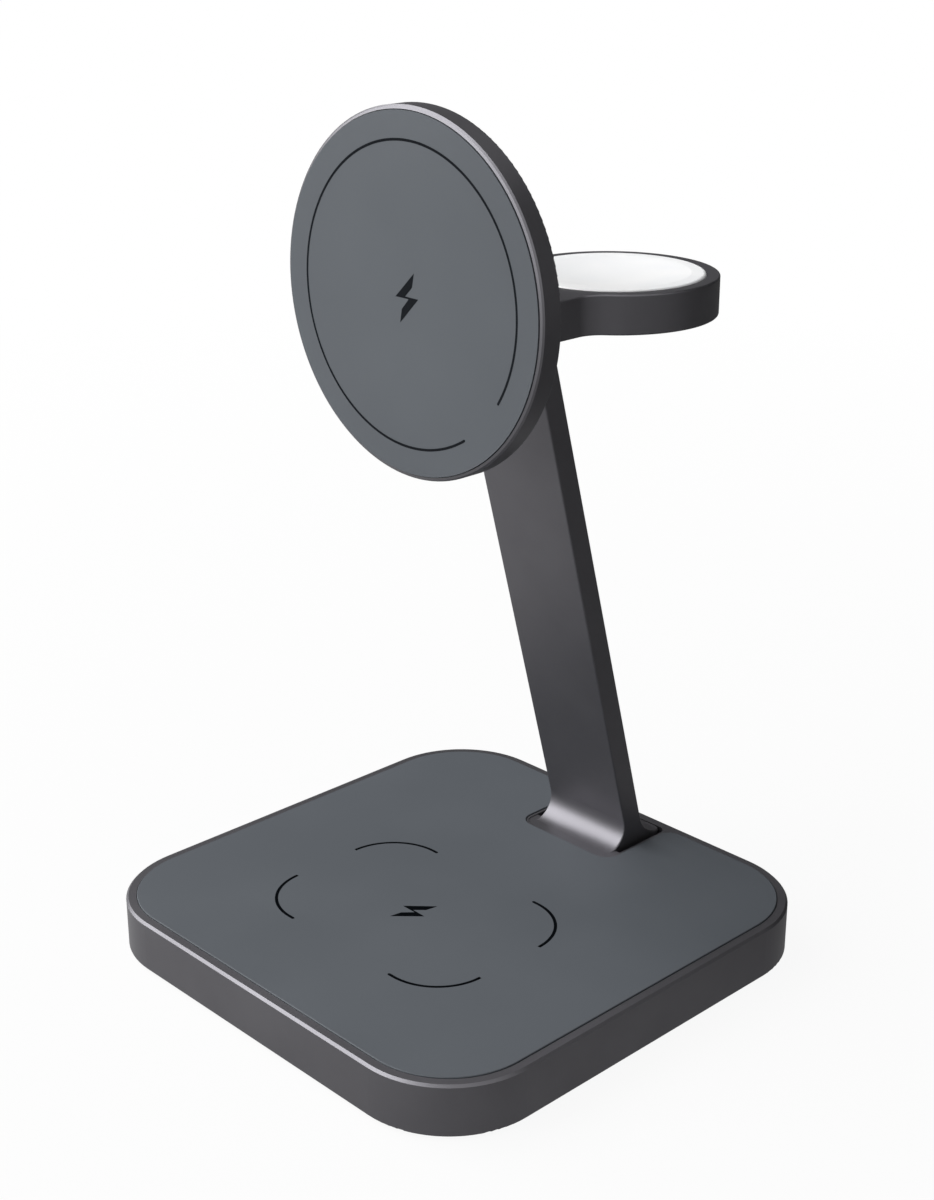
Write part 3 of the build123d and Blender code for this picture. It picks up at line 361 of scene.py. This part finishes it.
# Power inlet: the socket at the centre of the rear wall.
# Deep-drawn stainless steel shell, soldered to the tail of the board.
# Drawn steel: bright, with faint streaks along the drawing direction.
DRAWN_BRIGHT = "#B4B6BA"
DRAWN_SHADE = "#8C8E93"
DRAW_STREAK_MM = 0.15
DRAW_LENGTH_MM = 3.0
DRAW_DEPTH_MM = 0.006
drawn_steel, tree, place = new_finish("drawn_stainless_steel")
stretch = add(tree, "ShaderNodeMapping", {
    "Vector": place, "Scale": (1.0, DRAW_STREAK_MM / DRAW_LENGTH_MM, 1.0)})
streaks = add(tree, "ShaderNodeTexNoise", {
    "Vector": stretch.outputs["Vector"], "Scale": 1 / (DRAW_STREAK_MM * METRES_PER_MM)})
tone = add(tree, "ShaderNodeValToRGB", {"Fac": streaks.outputs["Fac"]})
tone.color_ramp.elements[0].color = linear(DRAWN_SHADE)
tone.color_ramp.elements[1].color = linear(DRAWN_BRIGHT)
drawn = add(tree, "ShaderNodeBump", {
    "Height": streaks.outputs["Fac"], "Distance": DRAW_DEPTH_MM * METRES_PER_MM,
    "Strength": 0.4})
shell = add(tree, "ShaderNodeBsdfPrincipled", {
    "Base Color": tone.outputs["Color"], "Metallic": 1.0, "Roughness": 0.28,
    "Normal": drawn.outputs["Normal"]})
close_finish(tree, shell)
dress(drawn_steel, "inlet_shell")

# Top panel: the earbud shelf, laid in its recess a little proud of the rim and stuck to the ledge.
# Moulded polycarbonate with a soft-touch lacquer, slate grey.
# Soft-touch lacquer: an even matt grey with a faint bloom and no clear reflection.
SLATE_GREY = "#4C5055"
SLATE_SHADE = "#484C51"
BLOOM_MM = 30.0
BLOOM_FROM = 0.35
BLOOM_TO = 0.65
# The lacquer's grain is well under 0.1 mm, drawn coarser so that it shows.
LACQUER_GRAIN_MM = 0.4
LACQUER_DEPTH_MM = 0.004
soft_touch, tree, place = new_finish("soft_touch_lacquer")
bloom = add(tree, "ShaderNodeTexNoise", {
    "Vector": place, "Scale": 1 / (BLOOM_MM * METRES_PER_MM), "Detail": 2.0})
tone = add(tree, "ShaderNodeValToRGB", {"Fac": bloom.outputs["Fac"]})
tone.color_ramp.elements[0].color = linear(SLATE_SHADE)
tone.color_ramp.elements[0].position = BLOOM_FROM
tone.color_ramp.elements[1].color = linear(SLATE_GREY)
tone.color_ramp.elements[1].position = BLOOM_TO
grain = add(tree, "ShaderNodeTexNoise", {
    "Vector": place, "Scale": 1 / (LACQUER_GRAIN_MM * METRES_PER_MM), "Detail": 1.0})
lacquered = add(tree, "ShaderNodeBump", {
    "Height": grain.outputs["Fac"], "Distance": LACQUER_DEPTH_MM * METRES_PER_MM,
    "Strength": 0.3})
panel = add(tree, "ShaderNodeBsdfPrincipled", {
    "Base Color": tone.outputs["Color"], "Roughness": 0.6, "IOR": 1.5, "Specular IOR Level": 0.3,
    "Normal": lacquered.outputs["Normal"]})
close_finish(tree, panel)
dress(soft_touch, "base_top_panel", "pad_face")

# Marks on the top panel: four corner brackets where the earbud case goes, round a charging
# bolt. Pad-printed ink, so thin that it shows only as colour.
# Printing ink: a dead matt near-black, a little uneven where it was laid down.
INK_BLACK = "#050709"
INK_THIN = "#0B0D10"
INK_PATCH_MM = 0.5
INK_THICK_MM = 0.02
INK_SINK_MM = 0.005
CAP_ANGLES_DEG = (0, 25, 50, 75)


def printing_ink(name, thick, thin):
    """Pad-printed ink, from its colour where it lies thick to that where it lies thin."""
    material, tree, place = new_finish(name)
    lay = add(tree, "ShaderNodeTexNoise", {
        "Vector": place, "Scale": 1 / (INK_PATCH_MM * METRES_PER_MM)})
    tone = add(tree, "ShaderNodeValToRGB", {"Fac": lay.outputs["Fac"]})
    tone.color_ramp.elements[0].color = linear(thick)
    tone.color_ramp.elements[1].color = linear(thin)
    ink = add(tree, "ShaderNodeBsdfPrincipled", {
        "Base Color": tone.outputs["Color"], "Roughness": 0.8, "IOR": 1.5,
        "Specular IOR Level": 0.0})
    close_finish(tree, ink)
    return material


def arc(centre, radius, start_deg, stop_deg, steps):
    """Points along a round arc, from one angle to another."""
    angles = [math.radians(start_deg + (stop_deg - start_deg) * i / steps) for i in range(steps + 1)]
    return [(centre[0] + radius * math.cos(a), centre[1] + radius * math.sin(a)) for a in angles]


def stroke(points, width):
    """A line of one width through the points, with round ends, as pairs of edge points."""
    pairs = []
    count = len(points)
    for i, point in enumerate(points):
        here, before, after = map(Vector, (point, points[max(i - 1, 0)], points[min(i + 1, count - 1)]))
        along = (after - before).normalized()
        side = Vector((-along.y, along.x)) * width / 2
        cap = [math.radians(a) for a in (CAP_ANGLES_DEG if i in (0, count - 1) else (0,))]
        if i == 0:
            cap.reverse()
            along.negate()
        for turn in cap:
            middle_point = here + along * math.sin(turn) * width / 2
            pairs.append((middle_point + side * math.cos(turn), middle_point - side * math.cos(turn)))
    return pairs


def print_mark(name, shapes, origin, right, up, body, ink):
    """Lay flat ink shapes, given in mm as pairs of edge points, on a plane that a body carries."""
    right, up = Vector(right), Vector(up)
    out = right.cross(up)
    mesh = bmesh.new()
    for pairs in shapes:
        rows = [
            [
                mesh.verts.new(origin + (right * x + up * y + out * level) * METRES_PER_MM)
                for level in (-INK_SINK_MM, INK_THICK_MM) for x, y in pair
            ]
            for pair in pairs
        ]
        for (a, b, c, d), (e, f, g, h) in zip(rows, rows[1:]):
            for face in ((a, b, f, e), (c, g, h, d), (a, e, g, c), (b, d, h, f)):
                mesh.faces.new(face)
        for a, b, c, d in (rows[0], rows[-1]):
            mesh.faces.new((a, b, d, c))
    bmesh.ops.recalc_face_normals(mesh, faces=mesh.faces)
    data = bpy.data.meshes.new(name)
    mesh.to_mesh(data)
    mesh.free()
    data.materials.append(ink)
    mark = bpy.data.objects.new(name, data)
    bpy.context.scene.collection.objects.link(mark)
    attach(mark, body)


BRACKET_HALF_X_MM = 22.85
BRACKET_HALF_Y_MM = 16.45
BRACKET_CORNER_MM = 9.8
BRACKET_FROM_X_MM = 12.1
BRACKET_TO_Y_MM = 7.1
BRACKET_LINE_MM = 0.54
BRACKET_STEPS = 24
SHELF_CENTRE_Y_MM = -9.8
panel_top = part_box("base_top_panel")[1].z
shelf = Vector((0, SHELF_CENTRE_Y_MM * METRES_PER_MM, panel_top))
bend = (BRACKET_HALF_X_MM - BRACKET_CORNER_MM, BRACKET_HALF_Y_MM - BRACKET_CORNER_MM)
quarter = (
    [(BRACKET_HALF_X_MM, BRACKET_TO_Y_MM)]
    + arc(bend, BRACKET_CORNER_MM, 0, 90, BRACKET_STEPS)
    + [(BRACKET_FROM_X_MM, BRACKET_HALF_Y_MM)]
)
brackets = []
for x_sign, y_sign in ((1, 1), (-1, 1), (-1, -1), (1, -1)):
    corner = [(x_sign * x, y_sign * y) for x, y in quarter]
    if x_sign * y_sign < 0:
        corner.reverse()
    brackets.append(stroke(corner, BRACKET_LINE_MM))
black_ink = printing_ink("pad_printed_ink_black", INK_BLACK, INK_THIN)
print_mark("earbud_corner_marks", brackets, shelf, (1, 0, 0), (0, 1, 0), "stand", black_ink)

# Charging bolt: its left and right edges as pairs of points, from the top tip to the bottom one.
BOLT_MM = [
    ((1.65, 3.9), (1.2, 1.7)), ((-2.5, -0.15), (-0.35, 0.15)), ((0.45, -0.15), (2.55, 0.1)),
    ((-1.1, -1.85), (-1.5, -4.0)),
]
BOLT_SHIFT_MM = Vector((0.2, -0.3, 0))
print_mark(
    "earbud_bolt_mark", [BOLT_MM], shelf + BOLT_SHIFT_MM * METRES_PER_MM, (1, 0, 0), (0, 1, 0),
    "stand", black_ink)

# Stem: the flat bar that leans forward out of the base, with its filleted foot in a pocket of
# the frame and the hinge knuckle on top. Machined aluminium, finished like the frame.
dress(anodised_aluminium, "stem")

# Cover strip up the back of the stem, which hides the cable in its channel.
# Extruded from the same black ABS as the bottom cover, clipped flush between the channel's walls.
dress(black_abs, "channel_strip")

# Flat cable from the base to the watch board, up the channel of the stem.
# Copper conductors laminated between two polyimide films.
# Polyimide: a clear amber film over parallel copper lines, smooth and quite glossy.
AMBER_FILM = "#A8671E"
UNDER_COPPER = "#7A3F14"
CONDUCTOR_MM = 0.8
CONDUCTOR_SHARE = 0.6
RIDGE_DEPTH_MM = 0.02
amber_film, tree, place = new_finish("polyimide_film")
axes = add(tree, "ShaderNodeSeparateXYZ", {"Vector": place})
steps = add(tree, "ShaderNodeMath", {
    0: axes.outputs["X"], 1: CONDUCTOR_MM * METRES_PER_MM}, operation="PINGPONG")
share = add(tree, "ShaderNodeMapRange", {
    "Value": steps.outputs[0], "From Max": CONDUCTOR_MM * METRES_PER_MM})
tone = add(tree, "ShaderNodeValToRGB", {"Fac": share.outputs["Result"]})
tone.color_ramp.interpolation = "CONSTANT"
tone.color_ramp.elements[0].color = linear(UNDER_COPPER)
tone.color_ramp.elements[1].color = linear(AMBER_FILM)
tone.color_ramp.elements[1].position = CONDUCTOR_SHARE
ridges = add(tree, "ShaderNodeBump", {
    "Height": share.outputs["Result"], "Distance": RIDGE_DEPTH_MM * METRES_PER_MM,
    "Strength": 0.4})
film = add(tree, "ShaderNodeBsdfPrincipled", {
    "Base Color": tone.outputs["Color"], "Roughness": 0.2, "IOR": 1.7, "Coat Weight": 0.6,
    "Normal": ridges.outputs["Normal"]})
close_finish(tree, film)
dress(amber_film, "stem_cable")

# Watch arm: a ring on a short arm that is screwed to the top of the stem, closed from below by
# a small black cover. Machined aluminium, finished like the frame; the cover is moulded ABS.
dress(anodised_aluminium, "watch_arm")
dress(black_abs, "watch_cover")
dress(zinc_steel, "watch_cover_screws", "arm_screws")

# Watch coil: it lies on its ferrite under the puck, round a small magnet that centres the watch.
# The same enamelled litz wire as in the base, wound flat and bonded.
dress(wound_copper("copper_litz_watch", middle("watch_coil"), UPRIGHT), "watch_coil")

# Magnets: one disc under the puck and a ring of flat segments in the phone pad.
# Sintered neodymium, ground and nickel plated.
# Nickel plate: a bright, faintly yellow mirror with a fine orange-peel ripple.
NICKEL_BRIGHT = "#C9C7C1"
NICKEL_SHADE = "#AFADA8"
PEEL_MM = 0.5
PEEL_DEPTH_MM = 0.01
nickel_plate, tree, place = new_finish("nickel_plated_magnet")
peel = add(tree, "ShaderNodeTexNoise", {
    "Vector": place, "Scale": 1 / (PEEL_MM * METRES_PER_MM), "Detail": 1.0})
tone = add(tree, "ShaderNodeValToRGB", {"Fac": peel.outputs["Fac"]})
tone.color_ramp.elements[0].color = linear(NICKEL_SHADE)
tone.color_ramp.elements[1].color = linear(NICKEL_BRIGHT)
rippled = add(tree, "ShaderNodeBump", {
    "Height": peel.outputs["Fac"], "Distance": PEEL_DEPTH_MM * METRES_PER_MM, "Strength": 0.3})
nickel = add(tree, "ShaderNodeBsdfPrincipled", {
    "Base Color": tone.outputs["Color"], "Metallic": 1.0, "Roughness": 0.15,
    "Normal": rippled.outputs["Normal"]})
close_finish(tree, nickel)
dress(nickel_plate, "watch_magnet", "magnet_ring")

# Watch puck: the white cap with a shallow dish that the back of a watch nests in.
# Injection-moulded polycarbonate, satin from the mould, pressed into the ring.
# Polycarbonate: a clean, even white with a broad soft shine and the faintest of flow marks.
PUCK_WHITE = "#F2F2F2"
PUCK_COOL = "#EEEFF0"
PUCK_SMOOTHEST = 0.38
PUCK_ROUGHEST = 0.5
FLOW_MM = 12.0
FLOW_FROM = 0.35
FLOW_TO = 0.65
white_polycarbonate, tree, place = new_finish("white_polycarbonate_satin")
flow = add(tree, "ShaderNodeTexNoise", {
    "Vector": place, "Scale": 1 / (FLOW_MM * METRES_PER_MM), "Detail": 2.0, "Distortion": 0.6})
tone = add(tree, "ShaderNodeValToRGB", {"Fac": flow.outputs["Fac"]})
tone.color_ramp.elements[0].color = linear(PUCK_COOL)
tone.color_ramp.elements[0].position = FLOW_FROM
tone.color_ramp.elements[1].color = linear(PUCK_WHITE)
tone.color_ramp.elements[1].position = FLOW_TO
gloss = add(tree, "ShaderNodeMapRange", {
    "Value": flow.outputs["Fac"], "To Min": PUCK_SMOOTHEST, "To Max": PUCK_ROUGHEST})
puck = add(tree, "ShaderNodeBsdfPrincipled", {
    "Base Color": tone.outputs["Color"], "Roughness": gloss.outputs["Result"], "IOR": 1.58,
    "Specular IOR Level": 0.2})
close_finish(tree, puck)
dress(white_polycarbonate, "watch_puck")

# Phone pad: a shallow turned dish with a bright bevelled rim, and its round face.
# The dish is aluminium finished like the frame; the face has the panel's soft-touch lacquer.
dress(anodised_aluminium, "pad_housing")
FACING = (0, 1, 0)
dress(wound_copper("copper_litz_phone", middle("pad_coil"), FACING), "pad_coil")

# Marks on the phone pad: a thin ring line with a gap at the lower right, round a charging bolt.
# Pad-printed like the marks on the base, in an ink a shade lighter.
INK_CHARCOAL = "#17191C"
INK_CHARCOAL_THIN = "#1E2023"
RING_LINE_R_MM = 23.2
RING_LINE_MM = 0.4
RING_STEPS = 200
RING_GAP_FROM_DEG = -57.6
RING_GAP_TO_DEG = -32.7
pad_centre = middle("pad_face")
pad_centre.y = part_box("pad_face")[0].y
ring_arc = arc((0, 0), RING_LINE_R_MM, RING_GAP_TO_DEG, RING_GAP_FROM_DEG + 360, RING_STEPS)
ring_line = stroke(ring_arc, RING_LINE_MM)
soft_ink = printing_ink("pad_printed_ink_charcoal", INK_CHARCOAL, INK_CHARCOAL_THIN)
print_mark("phone_ring_mark", [ring_line], pad_centre, (1, 0, 0), (0, 0, 1), "phone_pad", soft_ink)
print_mark("phone_bolt_mark", [BOLT_MM], pad_centre, (1, 0, 0), (0, 0, 1), "phone_pad", soft_ink)

# Friction hinge: a bracket with two ears on the back of the pad, a pin through the knuckle of
# the stem, a lock nut, and a washer at each side that gives the hinge its drag.
dress(anodised_aluminium, "pad_bracket")
dress(zinc_steel, "bracket_screws", "hinge_pin", "hinge_nut")

# Friction washers: phosphor bronze, stamped from sheet.
# Bronze: a warm metal, mottled by the rubbing of the ears that turn against it.
BRONZE_BRIGHT = "#B98A55"
BRONZE_DARK = "#8A6238"
RUB_MM = 0.2
RUB_DEPTH_MM = 0.008
phosphor_bronze, tree, place = new_finish("phosphor_bronze")
rub = add(tree, "ShaderNodeTexNoise", {
    "Vector": place, "Scale": 1 / (RUB_MM * METRES_PER_MM), "Detail": 2.0})
tone = add(tree, "ShaderNodeValToRGB", {"Fac": rub.outputs["Fac"]})
tone.color_ramp.elements[0].color = linear(BRONZE_DARK)
tone.color_ramp.elements[1].color = linear(BRONZE_BRIGHT)
rubbed = add(tree, "ShaderNodeBump", {
    "Height": rub.outputs["Fac"], "Distance": RUB_DEPTH_MM * METRES_PER_MM, "Strength": 0.4})
bronze = add(tree, "ShaderNodeBsdfPrincipled", {
    "Base Color": tone.outputs["Color"], "Metallic": 1.0, "Roughness": 0.3,
    "Normal": rubbed.outputs["Normal"]})
close_finish(tree, bronze)
dress(phosphor_bronze, "friction_washers")

# Studio floor: a pale seamless sheet that the stand rests on. It shows white to the camera
# and in reflections, and keeps a soft contact shadow.
FLOOR_HALF = 6.0
FLOOR_WHITE = "#C4C4C4"
FIBRE_MM = 2.0
FIBRE_DEPTH_MM = 0.01
# Near the stand the white leaves room for a little of the paper's own shade, and so for the shadow.
NEAR_GLOW_SHARE = 0.92
FAR_GLOW_SHARE = 1.0
FAR_AWAY = 0.5


def seen_directly(tree):
    """1 on camera, glossy and transmission rays, 0 on the rays that light the object."""
    rays = add(tree, "ShaderNodeLightPath").outputs
    mirrored = add(tree, "ShaderNodeMath", {
        0: rays["Is Camera Ray"], 1: rays["Is Glossy Ray"]}, operation="MAXIMUM")
    seen = add(tree, "ShaderNodeMath", {
        0: mirrored.outputs[0], 1: rays["Is Transmission Ray"]}, operation="MAXIMUM")
    return seen.outputs[0]


def square(half, height):
    """The four corners of a level square with the stand at its middle."""
    return [(x * half, y * half, height) for x, y in ((-1, -1), (1, -1), (1, 1), (-1, 1))]


floor_paper, tree, place = new_finish("seamless_paper")
fibre = add(tree, "ShaderNodeTexNoise", {
    "Vector": place, "Scale": 1 / (FIBRE_MM * METRES_PER_MM)})
pressed = add(tree, "ShaderNodeBump", {
    "Height": fibre.outputs["Fac"], "Distance": FIBRE_DEPTH_MM * METRES_PER_MM,
    "Strength": 0.1})
paper = add(tree, "ShaderNodeBsdfDiffuse", {
    "Color": linear(FLOOR_WHITE), "Normal": pressed.outputs["Normal"]})
glow = add(tree, "ShaderNodeEmission", {"Strength": 1.0})
away = add(tree, "ShaderNodeVectorMath", {0: place}, operation="LENGTH")
whiter = add(tree, "ShaderNodeMapRange", {
    "Value": away.outputs["Value"], "From Max": FAR_AWAY, "To Min": NEAR_GLOW_SHARE,
    "To Max": FAR_GLOW_SHARE})
share = add(tree, "ShaderNodeMath", {
    0: seen_directly(tree), 1: whiter.outputs["Result"]}, operation="MULTIPLY")
blend = add(tree, "ShaderNodeMixShader", {
    0: share.outputs[0], 1: paper.outputs[0], 2: glow.outputs[0]})
close_finish(tree, blend)
floor_mesh = bpy.data.meshes.new("floor")
floor_mesh.from_pydata(square(FLOOR_HALF, 0.0), [], [(0, 1, 2, 3)])
floor_mesh.materials.append(floor_paper)
floor = bpy.data.objects.new("floor", floor_mesh)
bpy.context.scene.collection.objects.link(floor)

# Studio light: one square softbox high at the front left, a large dim one low at the front,
# and an even white surround.
SURROUND_WHITE = "#FFFFFF"
SURROUND_LIGHT = 0.15
STAND_MIDDLE = Vector((0.0, 0.0, 0.07))
world = bpy.data.worlds.new("white_surround")
bpy.context.scene.world = world
world.use_nodes = True
tree = world.node_tree
tree.nodes.clear()
strength = add(tree, "ShaderNodeMapRange", {
    "Value": seen_directly(tree), "To Min": SURROUND_LIGHT, "To Max": 1.0})
surround = add(tree, "ShaderNodeBackground", {
    "Color": linear(SURROUND_WHITE), "Strength": strength.outputs["Result"]})
add(tree, "ShaderNodeOutputWorld", {"Surface": surround.outputs[0]})


def softbox(name, towards, distance, side, power):
    """A square lamp that looks at the stand from a direction."""
    lamp = bpy.data.lights.new(name, "AREA")
    lamp.shape = "SQUARE"
    lamp.size = side
    lamp.energy = power
    box = bpy.data.objects.new(name, lamp)
    out = Vector(towards).normalized()
    box.location = STAND_MIDDLE + out * distance
    box.rotation_euler = out.to_track_quat("Z", "Y").to_euler()
    bpy.context.scene.collection.objects.link(box)


softbox("key_softbox", towards=(-0.6, -0.42, 0.68), distance=1.0, side=1.2, power=21.5)
softbox("front_softbox", towards=(-0.15, -0.93, 0.33), distance=1.3, side=1.0, power=6.2)

# Painted reflections: glowing cards that only reflections see, one laid round the stand and darker at
# the rear right, and a dim curved one behind it. They keep the metal from mirroring the white floor in
# full.
CARD_HALF = 2.0
CARD_LIFT = 0.0002
CARD_NEAR_GLOW = 0.8
CARD_REAR_GLOW = 0.13
# The card fades along the sum of X and Y, from the front left to the rear right.
CARD_FADE_FROM = -0.22
CARD_FADE_TO = 0.18
REAR_RADIUS = 1.3
REAR_HEIGHT = 1.7
REAR_FROM_DEG = 30
REAR_TO_DEG = 190
REAR_STEPS = 16
REAR_GLOW = 0.04


def reflection_only_card(name, corners, faces, material):
    """A glowing card that takes no part in the picture but in reflections: a painted reflection."""
    mesh = bpy.data.meshes.new(name)
    mesh.from_pydata(corners, [], faces)
    mesh.materials.append(material)
    card = bpy.data.objects.new(name, mesh)
    bpy.context.scene.collection.objects.link(card)
    card.visible_camera = card.visible_diffuse = card.visible_shadow = False


# Painted reflection: the laid card glows brighter at the front left and dimmer at the rear right.
laid_reflection, tree, place = new_finish("laid_card_painted_reflection")
reach = add(tree, "ShaderNodeVectorMath", {0: place, 1: (1, 1, 0)}, operation="DOT_PRODUCT")
fade = add(tree, "ShaderNodeMapRange", {
    "Value": reach.outputs["Value"], "From Min": CARD_FADE_FROM, "From Max": CARD_FADE_TO,
    "To Min": CARD_NEAR_GLOW, "To Max": CARD_REAR_GLOW})
close_finish(tree, add(tree, "ShaderNodeEmission", {"Strength": fade.outputs["Result"]}))
reflection_only_card("laid_card", square(CARD_HALF, CARD_LIFT), [(0, 1, 2, 3)], laid_reflection)

# Painted reflection: the rear card glows only faintly, so the metal mirrors it as dark.
rear_reflection, tree, place = new_finish("rear_card_painted_reflection")
close_finish(tree, add(tree, "ShaderNodeEmission", {"Strength": REAR_GLOW}))
foot_line = arc((0, 0), REAR_RADIUS, REAR_FROM_DEG, REAR_TO_DEG, REAR_STEPS)
rear = [(x, y, z) for x, y in foot_line for z in (0.0, REAR_HEIGHT)]
rear_faces = [(i, i + 2, i + 3, i + 1) for i in range(0, len(rear) - 2, 2)]
reflection_only_card("rear_card", rear, rear_faces, rear_reflection)

# Camera: a portrait view from the front right, a little above the stand, through a lens a
# little longer than normal.
CAMERA_PLACE = Vector((0.216187, -0.205011, 0.179111))
CAMERA_AIM = Vector((-0.00925, 0.01144, 0.0576))
CAMERA_LENS_MM = 59.149
camera_data = bpy.data.cameras.new("camera")
camera_data.lens = CAMERA_LENS_MM
camera = bpy.data.objects.new("camera", camera_data)
camera.location = CAMERA_PLACE
camera.rotation_euler = (CAMERA_PLACE - CAMERA_AIM).to_track_quat("Z", "Y").to_euler()
bpy.context.scene.collection.objects.link(camera)
bpy.context.scene.camera = camera
bpy.context.scene.view_settings.view_transform = "Standard"
